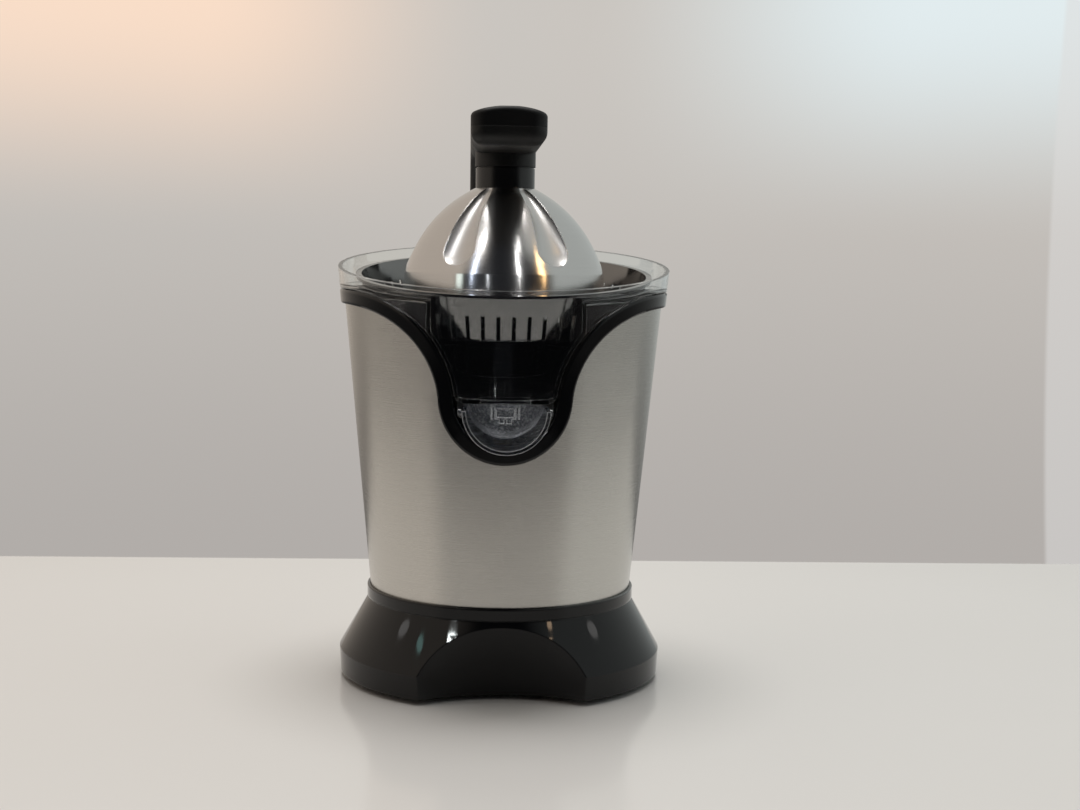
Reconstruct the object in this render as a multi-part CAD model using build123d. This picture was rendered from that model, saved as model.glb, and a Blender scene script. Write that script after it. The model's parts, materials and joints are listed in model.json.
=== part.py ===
from build123d import *
import os
from math import acos, atan2, cos, degrees, hypot, pi, radians, sin, sqrt, tan

# Lever citrus juicer. Millimetres, +Z up, front towards -Y, origin on the table under the body's axis.

# Steel sleeve: a cone that widens upwards
seam_z = 54.7
seam_radius = 79.3
sleeve_half_angle = 5.4
sleeve_wall = 0.8
sleeve_tuck = 5.0

# Base: lip, flared cone and the ring that holds the sleeve
foot_height = 4.0
lip_bottom_z = 3.0
lip_top_z = 17.0
lip_radius = 98.0
lip_draft = 0.8
ring_lap = 0.5
ring_height = 7.6
ring_proud = 2.0
ring_groove = 0.7
base_wall = 2.6
shelf_thickness = 3.0
shelf_inner_radius = 50.0

# Glass bay scooped out of the base's front
bay_scoop = 27.0
bay_floor_radius = 86.0
bay_top_reach = 1.4
bay_top_sag = 0.6
bay_half_width = 62.0
bay_margin = 1.6

# Trim band and bib of the upper housing
sleeve_height = 171.0
trim_band = 9.0
trim_proud = 2.7
trim_overlap = 4.0
trim_bead = 1.5
bib_radius = 38.0
bib_drop = 49.2
bib_flare_radius = 56.0
fit_gap = 0.3

# Clear bowl: slanted rim, front panel, sloped floor and chimney
rim_rise = 23.1
cant = 7.0
bowl_wall = 2.2
visor_wall = 2.6
visor_inset = 0.3
bowl_inset = 6.2
panel_drop = 3.0
panel_corner_radius = 6.0
panel_gap = 0.4
panel_setback = 0.53
window_half = 42.0
ledge_drop = 2.6
chimney_radius = 26.0
chimney_gap = 1.0
chimney_draft = 4.0
outlet_length = 30.0
outlet_width = 8.0
outlet_setback = 5.0

# Cradle under the bowl
cradle_gap = 0.8
cradle_wall = 2.0
cradle_floor = 2.6
boss_radius = 16.5
boss_bottom_radius = 21.0
boss_rib_count = 16
boss_rib_depth = 1.2
boss_rib_width = 1.6

# Strainer basket, canted with the bowl's rim
strainer_inset = 8.25
strainer_rim_width = 2.4
strainer_taper = 6.0
strainer_drop = 4.5
strainer_depth = 28.5
strainer_wall = 0.8
strainer_bead = 1.6
strainer_corner = 4.0
strainer_hole_radius = 21.0
slot_count = 60
slot_width = 2.2
slot_height = 14.0
floor_slot_count = 36
floor_slot_inner = 34.0
floor_slot_outer = 70.0

# Spout: a half-round gutter that tilts up to stop drips
spout_radius = 24.3
spout_wall = 2.2
spout_reach = 27.0
spout_tail = 19.0
spout_axis_rise = 1.9
spout_axis_reach = 6.0
spout_slope = 8.0
spout_edge_drop = 1.5
trunnion_setback = 3.0
trunnion_drop = 5.0
trunnion_radius = 2.0
trunnion_length = 3.2
spout_ear_gap = 0.3
spout_ear_thickness = 2.0
spout_ear_width = 6.4
running_gap = 0.05

# Drip catch tab over the gutter
catch_width = 12.0
catch_height = 11.2
catch_thickness = 2.4
catch_frame = 1.2
catch_bar = 1.6
catch_foot_width = 3.0
catch_foot_gap = 0.6
catch_foot_height = 2.6
catch_rib = 1.0
catch_rib_gap = 1.2

# Reamer cone
reamer_radius = 46.0
reamer_sink = 22.3
reamer_skirt = 4.0
reamer_height = 54.0
reamer_tip_radius = 6.0
reamer_tip_flat = 1.5
reamer_wall = 2.4
reamer_rib_count = 12
reamer_rib_width = 3.0
reamer_rib_height = 3.0
reamer_hub_radius = 9.0
reamer_hub_gap = 3.0

# Press dome with pressed flutes
dome_neck_radius = 17.8
dome_head_gap = 15.1
dome_arc_radius = 79.2
dome_side_gap = 14.2
dome_edge_rise = 13.0
dome_edge_flare = 0.6
dome_sink = 16.8
dome_wall = 1.2
flute_count = 6
flute_inner_gap = 3.3
flute_outer_gap = 5.3
flute_small_radius = 6.0
flute_big_radius = 21.4
flute_small_lift = 5.1
flute_big_lift = 18.0
flute_shoulder = 28.8
collar_height = 12.6
collar_groove = 0.8
dome_screw_radius = 4.0
dome_screw_head = 4.0
dome_screw_grip = 7.0
washer_height = 1.6

# Lever
arm_width = 42.4
arm_height = 21.5
arm_crown = 3.8
crown_flat = 0.25
arm_front_y = -96.0
arm_boss_height = 7.8
arm_boss_radius = 18.2
arm_tray_depth = 10.5
arm_wall = 2.6
arm_bend_radius = 40.0
arm_inner_bend = 20.0
arm_edge_radius = 8.0
cover_edge_radius = 3.0
cover_corner_radius = 9.0
lever_screw_rows = (30.0, 62.0)

# Lever hinge behind the bowl
hinge_setback = 12.85
hinge_drop = 2.8
knuckle_radius = 7.0
hinge_pin_radius = 4.0
hinge_bush_radius = 6.0
hinge_ear_radius = 8.5
hinge_ear_gap = 0.5
hinge_ear_width = 7.0
hinge_block_gap = 8.4
hinge_block_height = 45.6
hinge_block_sink = 6.0
hinge_taper_rise = 22.0
hinge_taper_radius = 8.0

# Gear train
gear_module = 1.0
pinion_teeth = 14
wheel_teeth = 56
pressure_angle = 20.0
gear_backlash = 0.18
wheel_width = 8.0
output_width = 10.0
train_angle = 30.0
idler_pin_radius = 3.0
gear_lug_turns = (188.0, 240.0, 300.0)

# Gearbox plates and posts
drive_rise = 48.3
plate_thickness = 3.0
plate_margin = 3.3
stage_gap = 3.0
cover_inner_gap = 1.5
cover_wall = 2.0
gear_cover_height = 36.0
post_inset_x = 24.0
post_inset_y = 26.0
post_radius = 4.0
cradle_pad_drop = 15.5

# Spindle
spindle_radius = 4.0
spindle_flat = 3.2
spindle_top_gap = 21.0
spindle_stub = 2.5
press_travel = 2.5
bush_wall = 2.6
bush_flange_height = 2.0
bush_flange_wall = 1.6
cover_bush_length = 6.0
top_bush_length = 12.0
boss_drop = 18.5
seal_height = 2.4

# Motor
stator_size = 60.0
motor_drop = 57.0
stator_height = 38.0
stator_bore = 16.0
motor_gap = 2.0
rotor_radius = 15.6
motor_shaft_radius = 4.0
motor_shaft_stub = 30.0
coil_height = 11.0
coil_inner_radius = 17.0
coil_outer_radius = 26.0
bracket_thickness = 3.0
bracket_leg = 8.0
bracket_reach = 16.0
bearing_radius = 8.0
bearing_width = 5.0
fan_radius = 27.0
fan_height = 8.0
fan_blade_count = 11

# Press switch
switch_y = -26.0
switch_size_x = 12.0
switch_size_y = 18.0
switch_size_z = 12.0
switch_leaf_gap = 0.3
switch_plate = 1.2
switch_lever_length = 19.0
switch_pin_radius = 1.0
leaf_thickness = 0.6
leaf_width = 7.0
leaf_fixed_y = -45.0

# Base plate, feet and cord gland
base_plate_thickness = 2.5
base_plate_gap = 0.5
foot_radius = 9.0
foot_margin = 6.47
foot_turn = 43.48
base_boss_radius = 5.0
base_boss_margin = 10.35
base_boss_turn = 13.0
gland_rise = 9.0
gland_bore = 3.6
gland_radius = 6.5
gland_flange_radius = 9.0
gland_length = 14.0
gland_flange = 2.5

# Screws
screw_radius = 1.75
screw_head_radius = 3.2
screw_head_height = 2.2
screw_socket_radius = 1.5
screw_boss_wall = 1.6

# Reach of cutting tools past the body
tool_margin = 52.0

# Places that follow from the sizes above, from the base upwards
slope = tan(radians(sleeve_half_angle))
cant_slope = tan(radians(cant))
ring_top_z = seam_z + ring_lap
ring_bottom_z = ring_top_z - ring_height
ring_radius = seam_radius + ring_proud
bay_floor_depth = lip_radius - bay_scoop
bay_top_depth = ring_radius + bay_top_reach
bay_top_z = ring_bottom_z - bay_margin
reach = lip_radius + tool_margin
trim_bottom_z = seam_z + sleeve_height
bib_centre_z = trim_bottom_z - bib_drop
rim_centre_z = trim_bottom_z + rim_rise
rim_radius = seam_radius + (rim_centre_z - seam_z) * slope
tool_top_z = rim_centre_z + tool_margin
panel_bottom_z = bib_centre_z - panel_drop
panel_front_y = panel_setback - seam_radius - (panel_bottom_z - seam_z) * slope
strainer_rim_radius = rim_radius - strainer_inset
strainer_top_radius = strainer_rim_radius - strainer_rim_width
strainer_bottom_radius = strainer_top_radius - strainer_taper
spout_front_y = panel_front_y - spout_reach
spout_back_y = panel_front_y + spout_tail
spout_axis_y = panel_front_y - spout_axis_reach
spout_axis_z = panel_bottom_z + spout_axis_rise
spout_edge_z = panel_bottom_z - spout_edge_drop
trunnion_y = panel_front_y + trunnion_setback
trunnion_z = panel_bottom_z - trunnion_drop
reamer_bottom_z = rim_centre_z - reamer_sink
reamer_top_z = reamer_bottom_z + reamer_height
boss_top_z = reamer_bottom_z - boss_drop
reamer_hub_bottom_z = boss_top_z + press_travel + reamer_hub_gap
dome_bottom_z = rim_centre_z - dome_sink
dome_mid_z = dome_bottom_z + dome_edge_rise
dome_mid_radius = reamer_radius + dome_side_gap
dome_edge_radius = dome_mid_radius + dome_edge_flare
dome_neck_z = reamer_top_z + dome_head_gap
flute_inner_radius = dome_neck_radius + flute_inner_gap
flute_outer_radius = dome_mid_radius - flute_outer_gap
collar_top_z = dome_neck_z + collar_height
arm_belly_z = collar_top_z + arm_boss_height
arm_part_z = arm_belly_z + arm_tray_depth
arm_top_z = arm_belly_z + arm_height
hinge_y = rim_radius + hinge_setback
hinge_z = rim_centre_z - hinge_drop
hinge_block_top_z = hinge_z - hinge_block_gap
hinge_block_bottom_z = hinge_block_top_z - hinge_block_height
plate_bottom_z = seam_z + drive_rise
plate_radius = seam_radius - plate_margin
gear_cover_top_z = plate_bottom_z + gear_cover_height
post_x = plate_radius - post_inset_x
post_y = plate_radius - post_inset_y
cradle_pad_z = panel_bottom_z - cradle_pad_drop
spindle_top_z = reamer_top_z - spindle_top_gap
spindle_bottom_z = plate_bottom_z - spindle_stub
stator_bottom_z = plate_bottom_z - motor_drop
motor_shaft_bottom_z = stator_bottom_z - motor_shaft_stub
foot_ring = lip_radius - base_wall - foot_radius - foot_margin
foot_x = foot_ring * cos(radians(foot_turn))
foot_y = foot_ring * sin(radians(foot_turn))
base_boss_ring = lip_radius - base_wall - base_boss_radius - base_boss_margin
base_boss_x = base_boss_ring * cos(radians(base_boss_turn))
base_boss_y = base_boss_ring * sin(radians(base_boss_turn))
gland_z = lip_top_z + gland_rise


def cone_radius(z):
    """Outer radius of the steel sleeve's cone at height z."""
    return seam_radius + (z - seam_z) * slope


def spin(points):
    """Solid of revolution about Z from a closed outline of (radius, z) points."""
    return revolve(Plane.XZ * make_face(Polyline(*points, close=True)), Axis.Z)


def tube(outer, inner, z0, z1):
    """Straight ring about Z between two heights."""
    return spin([(inner, z0), (outer, z0), (outer, z1), (inner, z1)])


def rod(radius, z0, z1):
    """Solid cylinder about Z between two heights."""
    return Pos(0, 0, z0) * Cylinder(radius, z1 - z0, align=(Align.CENTER, Align.CENTER, Align.MIN))


def block(x0, x1, y0, y1, z0, z1):
    """Box between two corners."""
    size = Box(x1 - x0, y1 - y0, z1 - z0, align=(Align.MIN, Align.MIN, Align.MIN))
    return Pos(x0, y0, z0) * size


def cross_rod(radius, x0, x1, y, z):
    """Solid cylinder along X."""
    bar = Cylinder(radius, x1 - x0, align=(Align.CENTER, Align.CENTER, Align.MIN))
    return Pos(x0, y, z) * Rot(0, 90, 0) * bar


def cone_solid(offset, z0, z1):
    """Solid inside the sleeve's cone, offset radially."""
    return spin([(0, z0), (cone_radius(z0) + offset, z0), (cone_radius(z1) + offset, z1), (0, z1)])


def cone_band(inner, outer, z0, z1):
    """Wall that follows the sleeve's cone between two radial offsets."""
    return spin([
        (cone_radius(z0) + inner, z0),
        (cone_radius(z0) + outer, z0),
        (cone_radius(z1) + outer, z1),
        (cone_radius(z1) + inner, z1),
    ])


def above_slant(z):
    """Half-space above a plane that rises towards the back by the bowl's cant."""
    big = Box(4 * reach, 4 * reach, 2 * reach, align=(Align.CENTER, Align.CENTER, Align.MIN))
    return Pos(0, 0, z) * Rot(cant, 0, 0) * big


def four_corners(x, y):
    """Four places mirrored about both axes."""
    return [Pos(sx * x, sy * y, 0) for sx in (-1, 1) for sy in (-1, 1)]


def screw(length):
    """Cap screw: head below Z = 0, shank upwards, hexagon socket in the head."""
    head = rod(screw_head_radius, -screw_head_height, 0)
    socket = extrude(RegularPolygon(screw_socket_radius, 6), screw_head_height * 0.6)
    return head + rod(screw_radius, 0, length) - Pos(0, 0, -screw_head_height) * socket


# Trim outline: a bib circle, two flare arcs tangent to it, and a level edge round the sides

def flare_centre():
    z = trim_bottom_z - bib_flare_radius
    x = sqrt((bib_radius + bib_flare_radius) ** 2 - (z - bib_centre_z) ** 2)
    return x, z


def flare_arc(inset, end):
    """Right-hand flare arc, from the level edge down to a point on the same circle."""
    x, z = flare_centre()
    radius = bib_flare_radius + inset
    stop = atan2(end[1] - z, end[0] - x)
    middle = (pi / 2 + stop) / 2
    via = (x + radius * cos(middle), z + radius * sin(middle))
    return (x, z + radius), via, end


def mirrored(points):
    return [(-x, z) for x, z in reversed(points)]


def trim_prism(inset, back_y):
    """Everything above the trim's edge, moved in by inset, in front of back_y."""
    x, z = flare_centre()
    bib = bib_radius - inset
    span = bib_radius + bib_flare_radius
    tangent = (bib * x / span, bib_centre_z + bib * (z - bib_centre_z) / span)
    right = flare_arc(inset, tangent)
    left = mirrored(right)
    side_z = trim_bottom_z + inset
    face = make_face([
        Line((reach, tool_top_z), (reach, side_z)),
        Line((reach, side_z), right[0]),
        ThreePointArc(*right),
        ThreePointArc(tangent, (0, bib_centre_z - bib), left[0]),
        ThreePointArc(*left),
        Line(left[2], (-reach, side_z)),
        Line((-reach, side_z), (-reach, tool_top_z)),
        Line((-reach, tool_top_z), (reach, tool_top_z)),
    ])
    return Pos(0, back_y, 0) * extrude(Plane.XZ * face, reach)


def panel_prism(inset, bottom_z, corner, back_y):
    """The clear front panel's region: flare arcs, rounded bottom corners and a level bottom edge."""
    x, z = flare_centre()
    flare = bib_flare_radius + inset
    corner_z = bottom_z + corner
    corner_x = x - sqrt((flare + corner) ** 2 - (z - corner_z) ** 2)
    share = corner / (flare + corner)
    tangent = (corner_x + (x - corner_x) * share, corner_z + (z - corner_z) * share)
    low = (corner_x, bottom_z)
    mid = atan2(tangent[1] - corner_z, tangent[0] - corner_x) / 2 - pi / 4
    via = (corner_x + corner * cos(mid), corner_z + corner * sin(mid))
    right = flare_arc(inset, tangent)
    left = mirrored(right)
    turn = [tangent, via, low]
    turn_left = mirrored(turn)
    side_z = trim_bottom_z + inset
    face = make_face([
        Line((reach, tool_top_z), (reach, side_z)),
        Line((reach, side_z), right[0]),
        ThreePointArc(*right),
        ThreePointArc(*turn),
        Line(low, turn_left[0]),
        ThreePointArc(*turn_left),
        ThreePointArc(*left),
        Line(left[2], (-reach, side_z)),
        Line((-reach, side_z), (-reach, tool_top_z)),
        Line((-reach, tool_top_z), (reach, tool_top_z)),
    ])
    return Pos(0, back_y, 0) * extrude(Plane.XZ * face, reach)


def rear_above(z):
    """Everything behind the body's axis and above a level edge."""
    return block(-reach, reach, 0, reach, z, tool_top_z)


def above_trim(inset):
    return trim_prism(inset, 0) + rear_above(trim_bottom_z + inset)


# Base

def bay_face(depth, sag):
    """Plan outline of the glass bay's cutter at one height."""
    side_y = -depth - sag
    return make_face([
        ThreePointArc((-bay_half_width, side_y), (0, -depth), (bay_half_width, side_y)),
        Line((bay_half_width, side_y), (bay_half_width, -reach)),
        Line((bay_half_width, -reach), (-bay_half_width, -reach)),
        Line((-bay_half_width, -reach), (-bay_half_width, side_y)),
    ])


def bay_cutter(offset):
    """Scoop in front of the base, moved into the base by offset: curved below, nearly flat above."""
    floor_sag = bay_floor_radius - sqrt(bay_floor_radius ** 2 - bay_half_width ** 2)
    low = Pos(0, 0, lip_bottom_z) * bay_face(bay_floor_depth - offset, floor_sag)
    high = Pos(0, 0, bay_top_z) * bay_face(bay_top_depth - offset, bay_top_sag)
    scoop = loft([low, high], ruled=True)
    skirt = extrude(low, -2 * lip_bottom_z)
    return scoop + skirt


flare_rise = ring_bottom_z - lip_top_z
flare_top_radius = ring_radius - ring_groove
shelf_top_z = seam_z - sleeve_tuck
shelf_bottom_z = shelf_top_z - shelf_thickness


def base_outer():
    return spin([
        (0, lip_bottom_z),
        (lip_radius - lip_draft, lip_bottom_z),
        (lip_radius, lip_top_z),
        (flare_top_radius, ring_bottom_z),
        (flare_top_radius, ring_bottom_z + ring_groove),
        (ring_radius, ring_bottom_z + ring_groove),
        (ring_radius, ring_top_z),
        (0, ring_top_z),
    ])


def base_inner():
    """Hollow below the shelf that carries the sleeve and the posts."""
    return spin([
        (0, 0),
        (lip_radius - lip_draft - base_wall, 0),
        (lip_radius - base_wall, lip_top_z - base_wall / 2),
        (flare_top_radius - base_wall, shelf_bottom_z),
        (0, shelf_bottom_z),
    ])


def base_shell():
    outer = base_outer()
    outer = fillet(outer.edges().filter_by(GeomType.CIRCLE).group_by(Axis.Z)[-1], ring_groove)
    lip_edges = [e for e in outer.edges().filter_by(GeomType.CIRCLE) if abs(e.center().Z - lip_top_z) < 0.1]
    outer = fillet(lip_edges, 2 * ring_groove)
    outer -= bay_cutter(0)
    inner = base_inner() - bay_cutter(base_wall)
    shell = outer - inner
    pocket = spin([
        (0, shelf_top_z),
        (cone_radius(shelf_top_z) + fit_gap, shelf_top_z),
        (cone_radius(ring_top_z) + fit_gap, ring_top_z + 1),
        (0, ring_top_z + 1),
    ])
    shell -= pocket
    shell -= rod(shelf_inner_radius, shelf_bottom_z - 1, shelf_top_z + 1)
    motor_room = stator_size / 2 + motor_gap
    shell -= block(-motor_room, motor_room, 0, motor_y + motor_room, shelf_bottom_z - 1, shelf_top_z + 1)
    column = rod(base_boss_radius, base_plate_top_z, shelf_bottom_z)
    hole = rod(screw_radius, base_plate_top_z - 1, base_plate_top_z + 2 * base_boss_radius)
    for spot in four_corners(base_boss_x, base_boss_y):
        shell += (spot * column) & base_outer()
        shell -= spot * hole
    for spot in four_corners(post_x, post_y):
        shell -= spot * rod(screw_radius + fit_gap, shelf_bottom_z - 1, shelf_top_z + 1)
    gland_hole = Cylinder(gland_radius + fit_gap / 2, reach, align=(Align.CENTER, Align.CENTER, Align.MIN))
    shell -= Pos(0, shelf_inner_radius, gland_z) * Rot(-90, 0, 0) * gland_hole
    return shell


base_plate_bottom_z = foot_height
base_plate_top_z = base_plate_bottom_z + base_plate_thickness


def base_plate():
    """Bottom plate inside the lip, with screw holes and cooling slots under the motor."""
    radius = lip_radius - lip_draft - base_wall - base_plate_gap
    plate = rod(radius, base_plate_bottom_z, base_plate_top_z)
    plate -= bay_cutter(base_wall + base_plate_gap)
    for spot in four_corners(base_boss_x, base_boss_y):
        plate -= spot * rod(screw_radius + fit_gap, 0, base_plate_top_z + 1)
    slot = extrude(SlotOverall(2 * fan_radius, screw_head_radius), base_plate_top_z + 1)
    for row in range(-2, 3):
        plate -= Pos(0, motor_y + row * 2 * screw_head_radius, 0) * slot
    return plate


def rubber_feet():
    foot = spin([
        (0, 0),
        (foot_radius - 1, 0),
        (foot_radius, foot_height),
        (0, foot_height),
    ])
    return [spot * foot for spot in four_corners(foot_x, foot_y)]


def base_screws():
    piece = Pos(0, 0, base_plate_bottom_z) * screw(base_plate_thickness + base_boss_radius)
    return [spot * piece for spot in four_corners(base_boss_x, base_boss_y)]


def cord_gland():
    """Rubber inlet bush in the back of the base's cone."""
    back_y = gland_wall_y + gland_flange
    body = Cylinder(gland_radius, gland_length, align=(Align.CENTER, Align.CENTER, Align.MAX))
    flange = Cylinder(gland_flange_radius, 2 * gland_flange, align=(Align.CENTER, Align.CENTER, Align.MAX))
    bore = Cylinder(gland_bore, 4 * gland_length)
    piece = fillet((body + flange).edges().filter_by(GeomType.CIRCLE).group_by(Axis.Z)[-1], 1.0) - bore
    piece = Pos(0, back_y, gland_z) * Rot(-90, 0, 0) * piece
    return piece - (base_shell_solid_grown() & block(-reach, reach, 0, back_y, 0, ring_top_z))


def base_shell_solid_grown():
    """The base's wall round the gland, with the gland's bush hole left open."""
    wall = base_outer() - base_inner()
    hole = Cylinder(gland_radius, 2 * reach, align=(Align.CENTER, Align.CENTER, Align.MIN))
    return wall - Pos(0, 0, gland_z) * Rot(-90, 0, 0) * hole


flare_tan = (lip_radius - flare_top_radius) / flare_rise
gland_wall_y = lip_radius - (gland_z - lip_top_z) * flare_tan + gland_flange


# Sleeve and upper housing

trim_top_z = trim_bottom_z + trim_band
bib_low_z = bib_centre_z - bib_radius
hinge_block_half = arm_width / 2 + hinge_ear_gap + hinge_ear_width


def steel_sleeve():
    sleeve = cone_band(-sleeve_wall, 0, shelf_top_z + fit_gap, trim_bottom_z + trim_overlap - fit_gap)
    sleeve -= trim_prism(trim_overlap - fit_gap, 0)
    half = hinge_block_half - trim_overlap + fit_gap
    sleeve -= block(-half, half, 0, reach, hinge_block_bottom_z + trim_overlap - fit_gap, tool_top_z)
    return sleeve


def hinge_ear(side):
    """Ear beside the lever's knuckle, down to the hinge block."""
    inner = arm_width / 2 + hinge_ear_gap
    low, high = sorted((side * inner, side * (inner + hinge_ear_width)))
    ear = cross_rod(hinge_ear_radius, low, high, hinge_y, hinge_z)
    foot_z = hinge_block_bottom_z + hinge_taper_rise + hinge_taper_radius
    ear += block(low, high, hinge_y - hinge_ear_radius, hinge_y + hinge_ear_radius, foot_z, hinge_z)
    return ear - cross_rod(hinge_bush_radius, low - 1, high + 1, hinge_y, hinge_z)


def hinge_block():
    """Block behind the trim that carries the two ears, tapered towards its foot."""
    back_y = hinge_y + hinge_ear_radius
    foot_y_at = cone_radius(hinge_block_bottom_z) + trim_proud
    side = make_face(Polyline(
        (foot_y_at - hinge_block_sink, hinge_block_bottom_z),
        (foot_y_at, hinge_block_bottom_z),
        (back_y, hinge_block_bottom_z + hinge_taper_rise),
        (back_y, hinge_block_top_z),
        (foot_y_at - hinge_block_sink, hinge_block_top_z),
        close=True,
    ))
    body = extrude(Plane.YZ * side, hinge_block_half, both=True)
    taper = body.edges().filter_by(Axis.X).group_by(Axis.Y)[-1]
    body = fillet(taper.group_by(Axis.Z)[0], hinge_taper_radius)
    body += hinge_ear(-1) + hinge_ear(1)
    body -= cone_solid(fit_gap, hinge_block_bottom_z - 1, trim_bottom_z + trim_overlap)
    bowl_room = cone_solid(trim_proud + fit_gap, trim_bottom_z, tool_top_z)
    return body - bowl_room


def on_cone(edge, offset):
    """Whether an edge lies on the sleeve's cone at a radial offset."""
    spots = [edge.position_at(share) for share in (0.1, 0.5, 0.9)]
    return all(abs(hypot(s.X, s.Y) - cone_radius(s.Z) - offset) < fit_gap / 10 for s in spots)


def upper_housing():
    face_band = cone_band(fit_gap / 2, trim_proud, bib_low_z - 5, trim_top_z)
    band = (face_band & above_trim(0)) - above_trim(trim_band)
    band = fillet([edge for edge in band.edges() if on_cone(edge, trim_proud)], trim_bead)
    inner_band = cone_band(-cradle_outset, fit_gap, bib_low_z - 5, trim_top_z)
    rebate = (inner_band & above_trim(trim_overlap)) - above_trim(trim_band)
    tongue_half = hinge_block_half - trim_overlap
    tongue = block(-tongue_half, tongue_half, 0, reach, hinge_block_bottom_z + trim_overlap, trim_top_z)
    tongue &= cone_band(-cradle_outset, 2 * fit_gap, hinge_block_bottom_z, trim_top_z)
    housing = band + rebate + hinge_block() + tongue
    return housing


# Bowl and cradle

cradle_outset = bowl_inset - cradle_gap - cradle_wall
floor_mid_z = panel_bottom_z - panel_front_y * cant_slope
dish_top_z = trim_bottom_z + trim_overlap
ledge_z = rim_centre_z - strainer_drop - ledge_drop


def bowl_form(offset, floor_drop, top_z):
    """Tapered cup under the rim, grown by offset, with a floor that slopes to the front."""
    cup = cone_solid(offset - bowl_inset, bib_low_z, top_z)
    return cup & above_slant(floor_mid_z - floor_drop)


def visor_form(offset, inset):
    """Outer clear wall above the trim and down the front panel, shrunk by offset and inset."""
    wall = cone_solid(trim_proud - visor_inset - offset, bib_low_z, tool_top_z)
    front = panel_prism(trim_band + panel_gap + inset, panel_bottom_z + inset, panel_corner_radius - inset, 0)
    front &= above_slant(floor_mid_z + inset)
    return wall & (front + rear_above(trim_top_z + fit_gap + inset))


def window(grow):
    """The way from the cup into the front panel, narrower than the panel, grown by a gap."""
    half = window_half + grow
    return block(-half, half, -reach, 0, 0, tool_top_z)


def juice_bowl():
    top = above_slant(rim_centre_z)
    outside = bowl_form(0, 0, trim_top_z + 2 * fit_gap) + (visor_form(0, 0) - top)
    over_trim = block(-reach, reach, -reach, reach, trim_top_z + fit_gap + bowl_wall, tool_top_z)
    over_trim += above_slant(ledge_z) & block(-reach, reach, -reach, 0, 0, tool_top_z)
    inside = bowl_form(-bowl_wall, -bowl_wall, tool_top_z)
    inside += visor_form(visor_wall, bowl_wall) & (window(0) + over_trim)
    flange_back = trim_proud - visor_inset - visor_wall
    relief = cone_band(-bowl_inset, flange_back, bib_low_z, dish_top_z + cradle_gap)
    relief &= block(-reach, reach, -reach, 0, 0, tool_top_z)
    relief -= above_slant(ledge_z - bowl_wall)
    bowl = outside - inside - (relief - window(bowl_wall))
    chimney = spin([
        (0, bib_low_z),
        (chimney_radius + chimney_draft, bib_low_z),
        (chimney_radius, strainer_floor_z),
        (0, strainer_floor_z),
    ])
    chimney &= above_slant(floor_mid_z)
    chimney -= above_slant(strainer_floor_z - strainer_wall - fit_gap)
    bowl += chimney
    bore = boss_bottom_radius + boss_rib_depth + chimney_gap
    bowl -= rod(bore, bib_low_z, strainer_floor_z + reach / 4)
    outlet = extrude(SlotOverall(outlet_length, outlet_width), 4 * bowl_wall, both=True)
    bowl -= Pos(0, outlet_y, panel_bottom_z) * outlet
    for side in (-1, 1):
        bowl += spout_ear(side)
    return bowl


outlet_y = panel_front_y + outlet_setback
spout_tilt_z = tan(radians(spout_slope))


def spout_axis_height(y):
    return spout_axis_z + (y - spout_axis_y) * spout_tilt_z


def spout_ear(side):
    """Lug under the bowl's front floor that holds one of the spout's trunnions."""
    inner = spout_radius + spout_ear_gap
    low, high = sorted((side * inner, side * (inner + spout_ear_thickness)))
    half = spout_ear_width / 2
    top_z = panel_bottom_z + 1.5 * bowl_wall
    lug = block(low, high, trunnion_y - half, trunnion_y + half, trunnion_z, top_z)
    lug += cross_rod(half, low, high, trunnion_y, trunnion_z)
    return lug - cross_rod(trunnion_radius + running_gap, low - 1, high + 1, trunnion_y, trunnion_z)


def juice_spout():
    """Half-round gutter with a closed back, open in front, on two trunnions."""
    length = spout_back_y - spout_front_y
    half_pipe = Cylinder(spout_radius, 2 * length) - Pos(0, 0, -spout_wall) * Cylinder(
        spout_radius - spout_wall, 2 * length)
    pipe = Pos(0, spout_axis_y, spout_axis_z) * Rot(90 + spout_slope, 0, 0) * half_pipe
    back = Cylinder(spout_radius, 2 * length)
    back = Pos(0, spout_axis_y, spout_axis_z) * Rot(90 + spout_slope, 0, 0) * back
    pipe &= block(-reach, reach, spout_front_y, spout_back_y, 0, spout_edge_z)
    back &= block(-reach, reach, spout_back_y - spout_wall, spout_back_y, 0, spout_edge_z)
    spout = pipe + back
    drop = spout_axis_height(trunnion_y) - trunnion_z
    side = sqrt(spout_radius ** 2 - drop ** 2)
    for sign in (-1, 1):
        low, high = sorted((sign * (side - spout_wall / 2), sign * (side + trunnion_length)))
        spout += cross_rod(trunnion_radius, low, high, trunnion_y, trunnion_z)
    return spout


def spout_catch():
    """Clear tab under the panel's bottom edge: a framed window, two small feet and a rib on each side."""
    face_y = -cone_radius(panel_bottom_z) - trim_proud + visor_inset + catch_thickness
    back_y = face_y + catch_thickness
    half = catch_width / 2
    rib_x = half + catch_rib_gap
    foot_z = panel_bottom_z - catch_height + catch_foot_height
    tab = block(-half, half, face_y, back_y, foot_z, panel_bottom_z)
    bar_z = panel_bottom_z - catch_bar
    tab += block(-rib_x - catch_rib, rib_x + catch_rib, face_y, back_y, bar_z, panel_bottom_z)
    tab -= block(catch_frame - half, half - catch_frame, face_y - 1, back_y + 1,
                 foot_z + catch_frame, bar_z - catch_frame)
    for side in (-1, 1):
        low, high = sorted((side * catch_foot_gap, side * (catch_foot_gap + catch_foot_width)))
        tab += block(low, high, face_y, back_y, foot_z - catch_foot_height, foot_z)
        low, high = sorted((side * rib_x, side * (rib_x + catch_rib)))
        tab += block(low, high, face_y, back_y, foot_z, panel_bottom_z)
    return tab


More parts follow.
